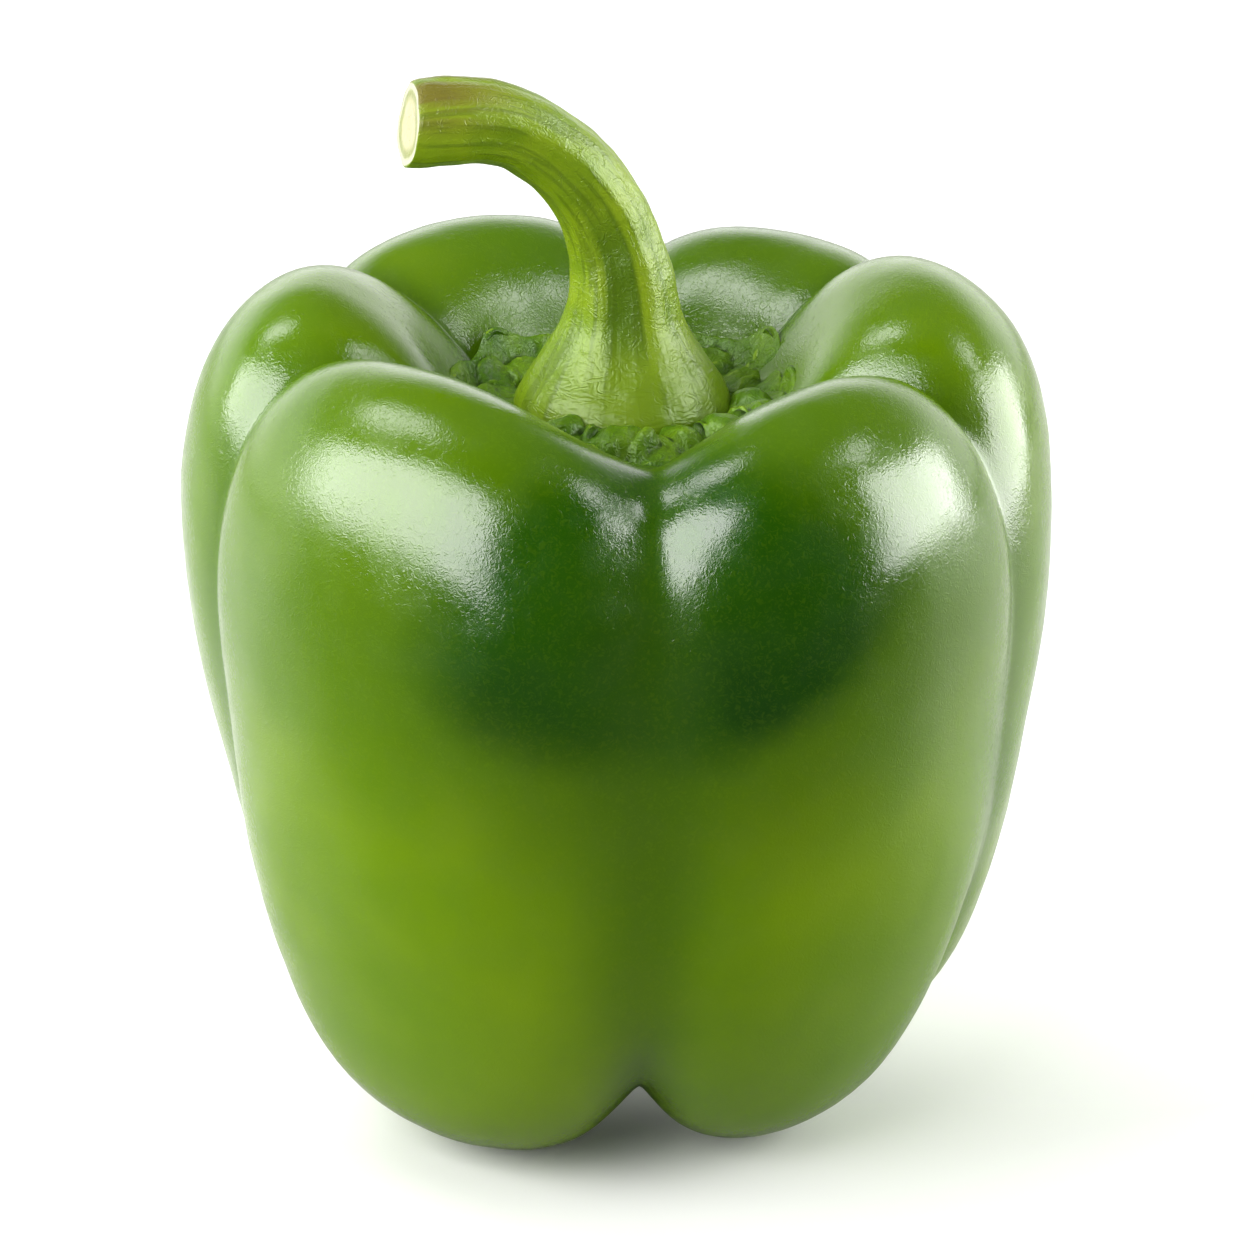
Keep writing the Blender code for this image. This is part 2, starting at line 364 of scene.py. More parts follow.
start_edit(fruit)
for column in range(COLUMNS):
    choose_numbers(fruit, [cage[ring, column] for ring in range(1, len(LEVELS) + 1)])
    turn(column_angle(column) - column / COLUMNS * math.tau)
for ring, drift in enumerate(FRONT_DRIFT, start=1):
    for away, share in DRIFT_SHARES.items():
        choose_numbers(fruit, {cage[ring, -away % COLUMNS], cage[ring, away]})
        turn(math.radians(drift * share))
end_edit()
print("front valley at", VALLEYS[0][0], "degrees")

# %% [markdown]
# # Creases that fade
# A fully smoothed cage would round every valley like a ditch. Real valleys are crisp
# where the skin dives in. The edges of each valley get a crease, and a part crease is
# sharp for the first steps of smoothing only, which leaves it about a millimetre round.
# The front valley is the softest, and half way down it has no crease at all.

# %% Creasing the valleys
# (how sharp the edge below each ring is, from the crown to the base)
SIDE_CREASE = [0, 0.2, 0.5, 0.5, 0.55, 0.55, 0.55, 0.5, 0.5, 0.5, 0.5, 0.5, 0.5, 0.4]
FRONT_CREASE = [0, 0.2, 0.3, 0.3, 0.3, 0.35, 0.3, 0.1, 0.0, 0.1, 0.4, 0.5, 0.5, 0.4]

start_edit(fruit)
for valley in range(LOBES):
    for ring, crease in enumerate(FRONT_CREASE if valley == 0 else SIDE_CREASE, start=1):
        column = valley * COLUMNS_PER_LOBE
        choose_numbers(fruit, [cage[ring, column], cage[ring + 1, column]])
        bpy.ops.transform.edge_crease(value=crease)
end_edit()
print("creased", LOBES, "valleys over", len(SIDE_CREASE), "edges each")

# %% [markdown]
# # Remembering the valleys, and smoothing
# The skin's painted shade follows the valleys too, so each point remembers how near one it is.
# Smoothing spreads these numbers over the new points, as it does the places. Three
# steps of it turn one face of the cage into sixty-four.

# %% Smoothing the cage
NEARNESS = (1.0, 0.25, 0.0, 0.0)  # to a valley, so many columns from it
valley_share = fruit.data.attributes.new("valley", "FLOAT", "POINT")
for (ring, column), number in cage.items():
    away = min(column % COLUMNS_PER_LOBE, -column % COLUMNS_PER_LOBE)
    inside = 1 < ring < len(LEVELS)
    valley_share.data[number].value = NEARNESS[away] if inside else 0.0

smooth_over(fruit, 3)
print("fruit has", len(fruit.data.polygons), "faces")

# %% [markdown]
# # Dents
# The lobes so far are as even as balloons. A Displace modifier with a soft cloud
# texture pushes the skin in and out by a fraction of a millimetre, in dents about two
# centimetres wide, which is what makes a real pepper's highlights wander.


# %% Denting the skin
def displace(piece, name, size, strength, depth, group=""):
    """Pushes the surface in and out by the strength, in clouds of about the size."""
    texture = bpy.data.textures.new(name, "CLOUDS")
    texture.noise_scale = size
    texture.noise_depth = depth
    apply_modifier(
        piece,
        "DISPLACE",
        texture=texture,
        strength=strength,
        mid_level=0.5,
        texture_coords="LOCAL",
        vertex_group=group,
    )
    bpy.data.textures.remove(texture)


displace(fruit, "wide_dents", 20 * MM, 1.1 * MM, depth=0)
displace(fruit, "small_dents", 7 * MM, 0.22 * MM, depth=1)
print("dented fruit reaches", [round(side / MM, 1) for side in size_of(fruit)[1]], "mm")

# %% [markdown]
# # Feet and place
# The fruit is moved to where the frame's fruit is. A pepper is heavy and soft enough to
# settle on the tips of its lobes, so the tips that reach the table are pressed flat on
# it. Then the piece is smooth-shaded and told what it stands for in the frame.


# %% Setting the fruit down
def settle(piece, node):
    """Stands the piece where the node stands: centred over it, with its foot as low."""
    (low, high), (node_low, node_high) = size_of(piece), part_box(node)
    step = (node_low + node_high - low - high) / 2
    step.z = node_low.z - low.z
    start_edit(piece)
    bpy.ops.mesh.select_all(action="SELECT")
    bpy.ops.transform.translate(value=step)
    end_edit()
    return [round(s / MM, 2) for s in step]


def finish_piece(piece, node):
    piece.data.shade_smooth()
    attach(piece, "root")
    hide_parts(node)


PRESSED_DEPTH = 0.35 * MM
print("fruit moved by", settle(fruit, "fruit"), "mm")
start_edit(fruit)
print("points on the table:", choose(fruit, lambda point: point.co.z < PRESSED_DEPTH))
bpy.ops.transform.resize(value=(1, 1, 0), center_override=(0, 0, 0))
end_edit()
finish_piece(fruit, "fruit")

# %% [markdown]
# # The stem: one face drawn upwards
# A stem is a ribbed tube, thick and flared at its foot, and it could be a curve with a
# bevel. Extruding is closer to how it grows and gives the ribs: a disc is extruded, and
# at each step the new end is scaled, tipped and moved on along the bend. Its seven
# grooves deepen over the first steps and fade again towards the cut.

# %% The stem's bend and grooves
STEM_SIDES = 36
STEM_RADIUS = 4.2 * MM
# (how far the stem has bent over, height above its foot, radius, depth of the grooves)
STEM_STEPS = [
    (0.0, -1.4, 2.62, 0.00),
    (0.0, 0.8, 2.58, 0.02),
    (0.0, 2.9, 2.30, 0.04),
    (0.0, 5.4, 1.86, 0.07),
    (0.0, 8.9, 1.36, 0.13),
    (0.1, 13.2, 1.22, 0.17),
    (0.9, 17.5, 1.08, 0.18),
    (2.7, 21.5, 1.01, 0.17),
    (5.3, 25.0, 0.96, 0.16),
    (8.6, 27.9, 0.94, 0.14),
    (12.5, 29.8, 0.96, 0.12),
    (16.4, 30.3, 1.02, 0.09),
    (19.6, 30.3, 1.06, 0.06),
    (21.2, 30.2, 0.98, 0.05),
]
FLARE_RADIUS = 2.45 * STEM_RADIUS  # of the plain stem in the frame
STEM_TURN = math.radians(14.6)  # the hook comes a little towards the front
CUT_TILT = math.radians(12)  # the knife went in aslant, so the cut looks up a little
# (compass angle, half width, depth) of each groove, in degrees; the second faces front
GROOVES = [
    (-140, 15, 0.4),
    (-88, 22, 1.0),
    (-34, 12, 0.5),
    (8, 12, 0.5),
    (52, 18, 0.8),
    (112, 22, 1.0),
    (172, 18, 0.6),
]
RIB_LEVEL = -0.3  # the ribs stand out by this much where the deepest groove goes in by 1


def grooviness(side):
    """1 in the middle of the deepest groove and below 0 on the ribs between."""
    angle = side / STEM_SIDES * 360 + math.degrees(STEM_TURN)
    total = RIB_LEVEL
    for line, width, depth in GROOVES:
        off = abs((angle - line + 180) % 360 - 180) / width
        total += depth * math.exp(-off * off)
    return total


def tip_at(step):
    """How far the stem has tipped over at this step, from the steps beside it."""
    x0, z0 = STEM_STEPS[max(step - 1, 0)][:2]
    x1, z1 = STEM_STEPS[min(step + 1, len(STEM_STEPS) - 1)][:2]
    slant = CUT_TILT if step == len(STEM_STEPS) - 1 else 0
    return math.atan2(x1 - x0, z1 - z0) - slant


print("the stem tips over by", round(math.degrees(tip_at(len(STEM_STEPS) - 1))), "degrees")

# %% [markdown]
# # The disc it grows from
# Each point of the disc keeps two whole numbers: its place round the stem, which
# extruding copies to the new points, and its ring, which is written after each step.
# With them one point, or one whole ring, can be found again at any time.

# %% A numbered disc
bpy.ops.mesh.primitive_circle_add(
    vertices=STEM_SIDES,
    radius=STEM_STEPS[0][2] * STEM_RADIUS,
    fill_type="NGON",
    location=(0, 0, STEM_STEPS[0][1] * MM),
)
stem = bpy.context.object
stem.name = "pepper_stem"
bpy.ops.object.transform_apply(location=True)
side_of = stem.data.attributes.new("side", "INT", "POINT")
for point in stem.data.vertices:
    around = math.atan2(point.co.y, point.co.x) / math.tau * STEM_SIDES
    side_of.data[point.index].value = round(around) % STEM_SIDES
stem.data.attributes.new("ring", "INT", "POINT")
print("disc of", len(stem.data.vertices), "points")

# %% [markdown]
# # Extruding along the bend
# Every step is the same: extrude, tip the new end over, scale it, write its number on
# it, and push each of its points in or out by how deep in a groove it is.


# %% Drawing the stem up
def number_layers(piece):
    """Where the points keep their ring and their place round the stem."""
    layers = bmesh.from_edit_mesh(piece.data).verts.layers.int
    return layers["ring"], layers["side"]


def mark_ring(piece, number):
    """Writes the ring's number on the selected points."""
    mesh = bmesh.from_edit_mesh(piece.data)
    ring, _ = number_layers(piece)
    for point in mesh.verts:
        if point.select:
            point[ring] = number
    bmesh.update_edit_mesh(piece.data)


start_edit(stem)
bpy.ops.mesh.select_all(action="SELECT")
for step in range(1, len(STEM_STEPS)):
    (x0, z0, r0, g0), (x1, z1, r1, g1) = STEM_STEPS[step - 1], STEM_STEPS[step]
    move = Vector((x0 - x1, 0, z1 - z0)) * MM
    bpy.ops.mesh.extrude_region_move(TRANSFORM_OT_translate={"value": move})
    centre = Vector((-x1, 0, z1)) * MM
    turn(tip_at(step - 1) - tip_at(step), "Y", centre)
    bpy.ops.transform.resize(value=[r1 / r0] * 3, center_override=centre)
    mark_ring(stem, step)
    ring, side = number_layers(stem)
    for number in range(STEM_SIDES):
        choose(stem, lambda point: point[ring] == step and point[side] == number)
        share = 1 - (g1 - g0) * grooviness(number)
        bpy.ops.transform.resize(value=[share] * 3, center_override=centre)
    choose(stem, lambda point: point[ring] == step)
end_edit()
print("stem has", len(stem.data.vertices), "points in", len(STEM_STEPS), "rings")

# %% [markdown]
# # The cut end
# The knife left a flat face with a pale pith, a ring of fibres and a thin white edge.
# Insetting the end face three times gives it those rings as real edges: the first is
# the inner side of the pale edge, the second, pushed in a little, is where the fibres
# end, and the third lies in the pith. The edge of the cut is creased, so that smoothing
# leaves it crisp.

# %% Insetting the cut
CUT_RINGS = [(0.84, 0.00), (0.55, 0.15), (0.25, 0.05)]  # (share of the radius, depth in mm)
EDGE_CREASE = 0.6
last = len(STEM_STEPS) - 1
tip = Vector((-STEM_STEPS[-1][0], 0, STEM_STEPS[-1][1])) * MM
start_edit(stem)
ring, _ = number_layers(stem)
choose(stem, lambda point: point[ring] == last)
bpy.ops.transform.edge_crease(value=EDGE_CREASE)
shrunk = 1.0
for number, (share, depth) in enumerate(CUT_RINGS, start=1):
    bpy.ops.mesh.extrude_region_move(TRANSFORM_OT_translate={"value": (depth * MM, 0, 0)})
    bpy.ops.transform.resize(value=[share / shrunk] * 3, center_override=tip)
    shrunk = share
    mark_ring(stem, last + number)
bpy.ops.mesh.select_all(action="SELECT")
bpy.ops.mesh.normals_make_consistent(inside=False)
end_edit()
print("cut has", len(CUT_RINGS), "rings inside its edge")

# %% [markdown]
# # What each point of the stem remembers
# The stem's colours run along it and round it, which its bent shape can't tell. So each
# point remembers three things. "straight" is where it would be if the stem were
# straight, for patterns along it. "groove" says how deep in a groove it is, and "cut"
# how far in from the edge of the cut.

# %% Writing straight, groove and cut
lengths = [0.0]
for (x0, z0, _, _), (x1, z1, _, _) in zip(STEM_STEPS, STEM_STEPS[1:]):
    lengths.append(lengths[-1] + math.hypot(x1 - x0, z1 - z0) * MM)
rings = [value.value for value in stem.data.attributes["ring"].data]
sides = [value.value for value in stem.data.attributes["side"].data]
insets = [CUT_RINGS[number - last - 1][0] if number > last else 1.0 for number in rings]
straight = stem.data.attributes.new("straight", "FLOAT_VECTOR", "POINT")
for value, number, place, inset in zip(straight.data, rings, sides, insets):
    angle = place / STEM_SIDES * math.tau
    radius = STEM_RADIUS * inset
    along = lengths[min(number, last)]
    value.vector = (radius * math.cos(angle), radius * math.sin(angle), along)
groove = stem.data.attributes.new("groove", "FLOAT", "POINT")
for value, place in zip(groove.data, sides):
    value.value = max(0, grooviness(place))
cut = stem.data.attributes.new("cut", "FLOAT", "POINT")
for value, inset in zip(cut.data, insets):
    value.value = 1.0 - inset
print("points that remember:", len(straight.data))

# %% [markdown]
# # Standing the stem in the crown
# Once smooth, the stem is turned to the side its hook leans to and moved so that its
# flare stands where the frame's stem does. Small lumps keep its ribs from looking
# machined.

# %% Smoothing the stem and standing it in the crown
smooth_over(stem, 3)
low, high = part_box("stem")
foot = Vector((high.x - FLARE_RADIUS, (low.y + high.y) / 2, low.z))
start_edit(stem)
bpy.ops.mesh.select_all(action="SELECT")
turn(STEM_TURN, "Z", (0, 0, 0))
bpy.ops.transform.translate(value=foot)
end_edit()
displace(stem, "stem_lumps", 4 * MM, 0.45 * MM, depth=1)
print("stem stands at", [round(c / MM, 1) for c in foot], "mm;", len(stem.data.polygons), "faces")
finish_piece(stem, "stem")

# %% [markdown]
# # The calyx: a curled, lumpy collar
# The calyx is what is left of the flower: a leathery collar, wrinkled between its
# lumps. It could be cut from a sheet, but a dish is nearer to it. It starts as a disc
# whose edge is extruded outward ring by ring and turns up at the rim.

# %% Drawing the collar out
CALYX_COLUMNS = 72
# (radius, height above the seat) of each ring, in mm
COLLAR = [
    (9.0, 2.3),
    (10.4, 2.3),
    (11.8, 2.2),
    (13.2, 2.4),
    (14.6, 3.0),
    (15.6, 4.0),
    (16.3, 5.0),
    (16.8, 5.6),
]
bpy.ops.mesh.primitive_circle_add(
    vertices=CALYX_COLUMNS,
    radius=COLLAR[0][0] * MM,
    fill_type="NGON",
    location=(0, 0, COLLAR[0][1] * MM),
)
calyx = bpy.context.object
calyx.name = "pepper_calyx"
bpy.ops.object.transform_apply(location=True)
start_edit(calyx)
bpy.ops.mesh.select_all(action="SELECT")
bpy.ops.mesh.select_mode(type="EDGE")
for (r0, z0), (r1, z1) in zip(COLLAR, COLLAR[1:]):
    bpy.ops.mesh.extrude_edges_move(TRANSFORM_OT_translate={"value": (0, 0, (z1 - z0) * MM)})
    bpy.ops.transform.resize(value=(r1 / r0, r1 / r0, 1), center_override=(0, 0, 0))
bpy.ops.mesh.select_mode(type="VERT")
end_edit()
print("collar has", len(calyx.data.polygons), "faces")

# %% [markdown]
# # Points on the collar
# The rim isn't round: it runs out to a point towards each valley and curls up there,
# and dips between. Each column of the outer rings is pulled out and up by the points
# near it, the rim most and the rings inside it by less. Then the dish gets a thickness.

# %% Pulling out the points
# (compass angle, how far out and up in mm, half width in degrees) of each point
POINTS = [
    (-79, 1.8, -2.2, 26),
    (-20, 0.6, 0.5, 16),
    (6, -0.5, 1.4, 15),
    (34, 1.0, 2.2, 15),
    (88, 0.4, 0.6, 18),
    (140, 0.9, 1.7, 15),
    (168, 0.2, 0.9, 12),
    (190, 2.2, 1.2, 15),
    (232, -0.2, -0.8, 24),
]
RIM_SHARES = (0.15, 0.4, 0.75, 1.0)  # of the pull, for the last four rings
SAME_PLACE = 0.3 * MM  # a point this near to a place of the dish is the one there
COLLAR_THICKNESS = 1.0 * MM


def pull(place, angle, width):
    """How strongly a pull at this angle moves a point: 1 on its line, 0 past its width."""
    turned = math.degrees(math.atan2(place.y, place.x))
    return soft_pull(abs((turned - angle + 180) % 360 - 180) / width)


start_edit(calyx)
for number in range(CALYX_COLUMNS):
    turned = number / CALYX_COLUMNS * math.tau
    ray = Vector((math.cos(turned), math.sin(turned), 0))
    out = sum(amount * pull(ray, angle, width) for angle, amount, _, width in POINTS)
    up = sum(amount * pull(ray, angle, width) for angle, _, amount, width in POINTS)
    for (radius, _), share in zip(COLLAR[-len(RIM_SHARES) :], RIM_SHARES):
        middle = ray * radius * MM
        choose(calyx, lambda point: (point.co.xy - middle.xy).length < SAME_PLACE)
        bpy.ops.transform.translate(value=(ray * out + Vector((0, 0, up))) * share * MM)
end_edit()
apply_modifier(calyx, "SOLIDIFY", thickness=COLLAR_THICKNESS, offset=-1)
smooth_over(calyx, 2)
print("calyx is", [round(c / MM, 1) for c in size_of(calyx)[1]], "mm at its highest corner")

# %% [markdown]
# # Lumps
# Where the stem joins, the collar is crowded with lumps the size of a peppercorn. Each
# is one point pulled up with proportional editing, whose falloff is a half ball, so the
# points round it follow as they would under a fingertip. The front ones are the
# biggest.

# %% Pulling up the lumps
# (compass angle in degrees, distance from the axis, height, width of the pull), in mm
LUMPS = [
    (-92, 12.8, 3.2, 3.3),
    (-66, 12.6, 2.9, 2.5),
    (-112, 12.6, 2.2, 2.8),
    (-46, 13.1, 3.1, 2.6),
    (-30, 14.2, 2.9, 2.3),
    (-16, 12.2, 2.2, 2.3),
    (-79, 15.4, 1.7, 2.6),
    (-6, 13.2, 1.7, 2.6),
    (14, 14.2, 1.4, 2.4),
    (30, 12.6, 1.6, 2.6),
    (55, 13.4, 1.2, 2.8),
    (85, 12.8, 1.4, 2.6),
    (112, 13.6, 1.2, 2.6),
    (135, 13.0, 1.6, 2.6),
    (152, 14.6, 1.2, 2.2),
    (168, 12.6, 1.5, 2.6),
    (186, 14.2, 1.4, 2.4),
    (203, 12.8, 1.4, 2.4),
    (222, 13.6, 1.5, 2.6),
    (238, 12.2, 1.7, 2.4),
]
FINGERTIP = 0.5 * MM  # points this near to the middle of a lump are the ones pulled
start_edit(calyx)
for angle, distance, height, width in LUMPS:
    turned = math.radians(angle)
    middle = Vector((math.cos(turned), math.sin(turned))) * distance * MM
    choose(calyx, lambda point: (point.co.xy - middle).length < FINGERTIP)
    bpy.ops.transform.translate(
        value=(0, 0, height * MM),
        use_proportional_edit=True,
        proportional_edit_falloff="SPHERE",
        proportional_size=width * MM,
    )
end_edit()
print("lumps:", len(LUMPS))

# %% [markdown]
# # Folds and wrinkles
# Between the lumps the collar is folded, and on the folds lie finer wrinkles. Two
# Displace modifiers press them in, the coarse one first, with a smoothing step between
# that gives the fine one enough points. A vertex group keeps both off the middle, which
# lies under the stem, and holds them back towards the rim.

# %% Folding and wrinkling the collar
FOLDS_BEGIN, FOLDS_FULL = 9, 11  # mm from the axis
FOLDS_END, FADE_WIDTH, RIM_STRENGTH = 18.5, 3, 0.25

lumpy = calyx.vertex_groups.new(name="lumpy")
for point in calyx.data.vertices:
    from_axis = point.co.xy.length / MM
    inner = min(max((from_axis - FOLDS_BEGIN) / (FOLDS_FULL - FOLDS_BEGIN), 0), 1)
    outer = min(max((FOLDS_END - from_axis) / FADE_WIDTH, RIM_STRENGTH), 1)
    lumpy.add([point.index], inner * outer, "REPLACE")
displace(calyx, "calyx_folds", 2.5 * MM, 1.1 * MM, depth=1, group="lumpy")
smooth_over(calyx, 1)
displace(calyx, "calyx_wrinkles", 0.9 * MM, 0.28 * MM, depth=1, group="lumpy")
print("calyx moved by", settle(calyx, "calyx"), "mm;", len(calyx.data.polygons), "faces")
finish_piece(calyx, "calyx")

# %% [markdown]
# # Building with nodes
# A material is a graph of small nodes. Setting each one up takes several lines, so these
# helpers add a node, set it and link it in one. What a helper gives back is the socket
# to link from, so calls can stand inside each other like the terms of a sum.


# %% Helpers for nodes
def add_node(tree, kind, inputs=(), **settings):
    """A node with its settings made and its sockets linked or given values, in order."""
    node = tree.nodes.new(kind)
    for name, value in settings.items():
        setattr(node, name, value)
    for name, value in dict(inputs).items():
        if isinstance(value, bpy.types.NodeSocket):
            tree.links.new(value, node.inputs[name])
        else:
            node.inputs[name].default_value = value
    return node


def math_node(tree, operation, *values):
    return add_node(tree, "ShaderNodeMath", dict(enumerate(values)), operation=operation).outputs[0]


def times(tree, first, second):
    return math_node(tree, "MULTIPLY", first, second)


def blend_colours(tree, share, low, high):
    node = add_node(tree, "ShaderNodeMix", {0: share, 6: low, 7: high}, data_type="RGBA")
    return node.outputs[2]


def remap(tree, value, low, high, to_low=0.0, to_high=1.0):
    """Turns the values from low to high into those from to_low to to_high, softly."""
    names = ("Value", "From Min", "From Max", "To Min", "To Max")
    inputs = dict(zip(names, (value, low, high, to_low, to_high)))
    return add_node(tree, "ShaderNodeMapRange", inputs, interpolation_type="SMOOTHSTEP").outputs[0]


def noise(tree, place, per_metre, detail, waviness=0.0):
    """Cloudy values around 0.5, with about so many clouds in a metre."""
    inputs = {"Vector": place, "Scale": per_metre, "Detail": detail, "Distortion": waviness}
    return add_node(tree, "ShaderNodeTexNoise", inputs).outputs["Fac"]


def bump(tree, height, distance, strength=1.0, under=None):
    inputs = {"Height": height, "Distance": distance, "Strength": strength}
    node = add_node(tree, "ShaderNodeBump", inputs)
    if under is not None:
        tree.links.new(under, node.inputs["Normal"])
    return node.outputs["Normal"]


# %% [markdown]
# # Where a pattern sits
# A pattern needs to know which point of the piece it colours. Object coordinates give
# that point in metres, so a patch stays on its lobe. The numbers that the points
# remember, such as how deep in a groove they are, come back through an Attribute node.


# %% Helpers for places
def place_of(tree):
    return add_node(tree, "ShaderNodeTexCoord").outputs["Object"]


def split(tree, vector):
    """The three parts of a vector: x, y and z."""
    return add_node(tree, "ShaderNodeSeparateXYZ", {"Vector": vector}).outputs


def remembered(tree, name, output="Fac"):
    """What the piece's points remember under this name."""
    return add_node(tree, "ShaderNodeAttribute", attribute_name=name).outputs[output]


# %% [markdown]
# # Shared finishes: soft patches
# All three skins have two things in common: colour that changes in soft patches, and a
# fine leathery grain that shows wherever light glances off. Each is a node group, built
# once and used with its own values in each material. The first blends two colours by a
# cloudy noise, and its softness says how gently one passes into the other.


# %% The group for patches
def new_group(name, inputs, output, kind):
    """An empty group with its inputs and one output, and the nodes at its two ends."""
    group = bpy.data.node_groups.new(name, "ShaderNodeTree")
    for label, socket_kind, value in inputs:
        socket = group.interface.new_socket(label, in_out="INPUT", socket_type=socket_kind)
        if value is not None:
            socket.default_value = value
    group.interface.new_socket(output, in_out="OUTPUT", socket_type=kind)
    given = group.nodes.new("NodeGroupInput").outputs
    return group, given, group.nodes.new("NodeGroupOutput").inputs[output]


patches, given, result = new_group(
    "skin_patches",
    [
        ("Place", "NodeSocketVector", None),
        ("Colour A", "NodeSocketColor", None),
        ("Colour B", "NodeSocketColor", None),
        ("Size per m", "NodeSocketFloat", 60.0),
        ("Softness", "NodeSocketFloat", 0.25),
    ],
    "Color",
    "NodeSocketColor",
)
cloud = noise(patches, given["Place"], given["Size per m"], 3.0)
low_edge = math_node(patches, "SUBTRACT", 0.5, given["Softness"])
high_edge = math_node(patches, "ADD", 0.5, given["Softness"])
mask = remap(patches, cloud, low_edge, high_edge)
mixed = blend_colours(patches, mask, given["Colour A"], given["Colour B"])
patches.links.new(mixed, result)
print("group", patches.name, "has", len(patches.nodes), "nodes")

# %% [markdown]
# # Shared finishes: leathery grain
# Leather, and skin of any kind, is a net of fine creases. Noise makes one when it is
# folded at its middle value: what was a slope through 0.5 becomes a crease there. A
# finer noise on top keeps the ground between the creases from being smooth.

# %% The group for grain
FINER = 3.1  # how many fine waves lie in one of the folds
grain, given, result = new_group(
    "leathery_grain",
    [
        ("Place", "NodeSocketVector", None),
        ("Size per m", "NodeSocketFloat", 700.0),
        ("Waviness", "NodeSocketFloat", 1.2),
        ("Fine share", "NodeSocketFloat", 0.3),
    ],
    "Height",
    "NodeSocketFloat",
)
folds = noise(grain, given["Place"], given["Size per m"], 1.5, given["Waviness"])
ridged = math_node(grain, "ABSOLUTE", math_node(grain, "SUBTRACT", folds, 0.5))
fine = noise(grain, given["Place"], times(grain, given["Size per m"], FINER), 1.0)
fine_part = times(grain, fine, given["Fine share"])
grain.links.new(math_node(grain, "ADD", times(grain, ridged, 2.0), fine_part), result)
print("group", grain.name, "has", len(grain.nodes), "nodes")

# %% [markdown]
# # Starting and wearing a material
# A new material comes with a Principled shader, which can be waxy, woody or leathery
# from the values on its sockets. Each skin below links its patterns to that shader and
# is then put on its piece, in place of the plain finish that came with the slot.


# %% Helpers for materials
def new_material(name):
    material = bpy.data.materials.new(name)
    material.use_nodes = True
    tree = material.node_tree
    return material, tree, tree.nodes["Principled BSDF"]


def two_colours(tree, place, colour_a, colour_b, per_metre, softness):
    """Two colours in soft patches."""
    values = {
        "Place": place,
        "Colour A": colour_a,
        "Colour B": colour_b,
        "Size per m": per_metre,
        "Softness": softness,
    }
    return add_node(tree, "ShaderNodeGroup", values, node_tree=patches).outputs["Color"]


def grain_on(tree, place, per_metre, waviness, fine_share):
    """The height of the leathery grain."""
    values = {
        "Place": place,
        "Size per m": per_metre,
        "Waviness": waviness,
        "Fine share": fine_share,
    }
    return add_node(tree, "ShaderNodeGroup", values, node_tree=grain).outputs["Height"]


def put_on(piece, material):
    piece.data.materials.clear()
    piece.data.materials.append(material)
    print(piece.name, "wears", material.name, "of", len(material.node_tree.nodes), "nodes")


# %% [markdown]
# # The skin of the fruit: its greens
# The skin is yellow-green towards the base and on the sides, and deeper green high on the lobes.
# It could be painted by hand on a map, but height and noise are enough: the deep green comes in
# gently above half height, and the noise keeps the border from running level.

# %% The two greens
material, tree, shader = new_material("pepper_skin")
place = place_of(tree)
x, y, z = split(tree, place)
edge_noise = noise(tree, place, 55.0, 3.0)
LOWER_GREENS = (0.190, 0.320, 0.001, 1), (0.118, 0.240, 0.001, 1)
DEEP_GREENS = (0.006, 0.046, 0.0003, 1), (0.017, 0.078, 0.0003, 1)
yellow_green = two_colours(tree, place, *LOWER_GREENS, 45.0, 0.3)
deep_green = two_colours(tree, place, *DEEP_GREENS, 60.0, 0.3)
upper = remap(tree, math_node(tree, "ADD", z, times(tree, edge_noise, 0.03)), 0.045, 0.095)
skin = blend_colours(tree, times(tree, upper, 0.28), yellow_green, deep_green)
print("greens mixed from", len(LOWER_GREENS + DEEP_GREENS), "colours")

# %% [markdown]
# # The skin of the fruit: its painted dark reflection
# High on the front two lobes lies a patch of the deep green, with a mid green round it. It is a
# painted reflection: the dark side of the room towards the camera, as the skin mirrors it, painted
# into the colour with a softer painted edge round it. It is a soft ball: the distance from its
# centre, counted in its radii, with noise added so that its edge wanders. By taking Y without its
# sign, the same ball also makes one on the back.

# %% The painted dark reflection and its painted edge
# Where the painted reflection of the dark room front sits, and how far it reaches.
DARK_REFLECTION_CENTRE = (0.004, 0.040, 0.0655)
DARK_REFLECTION_RADII = (0.0215, 0.026, 0.0145)
REFLECTION_EDGE_GREEN = (0.055, 0.135, 0.0008, 1)
squares = []
for value, middle, radius in zip((x, math_node(tree, "ABSOLUTE", y), z), DARK_REFLECTION_CENTRE, DARK_REFLECTION_RADII):
    off = times(tree, math_node(tree, "SUBTRACT", value, middle), 1 / radius)
    squares.append(times(tree, off, off))
total = math_node(tree, "ADD", math_node(tree, "ADD", squares[0], squares[1]), squares[2])
distance = math_node(tree, "SQRT", total)
uneven = math_node(tree, "ADD", distance, times(tree, edge_noise, 0.6))
reflection_edge = times(tree, remap(tree, uneven, 1.2, 2.7, 1.0, 0.0), 0.85)
dark_reflection = remap(tree, uneven, 1.05, 1.55, 1.0, 0.0)
# Painted reflection: a mid green edge, then the deep green of the dark room front, painted into the
# base colour.
skin = blend_colours(tree, reflection_edge, skin, REFLECTION_EDGE_GREEN)
skin = blend_colours(tree, dark_reflection, skin, deep_green)
print("patch is", [round(2 * radius / MM) for radius in DARK_REFLECTION_RADII], "mm wide, deep and high")
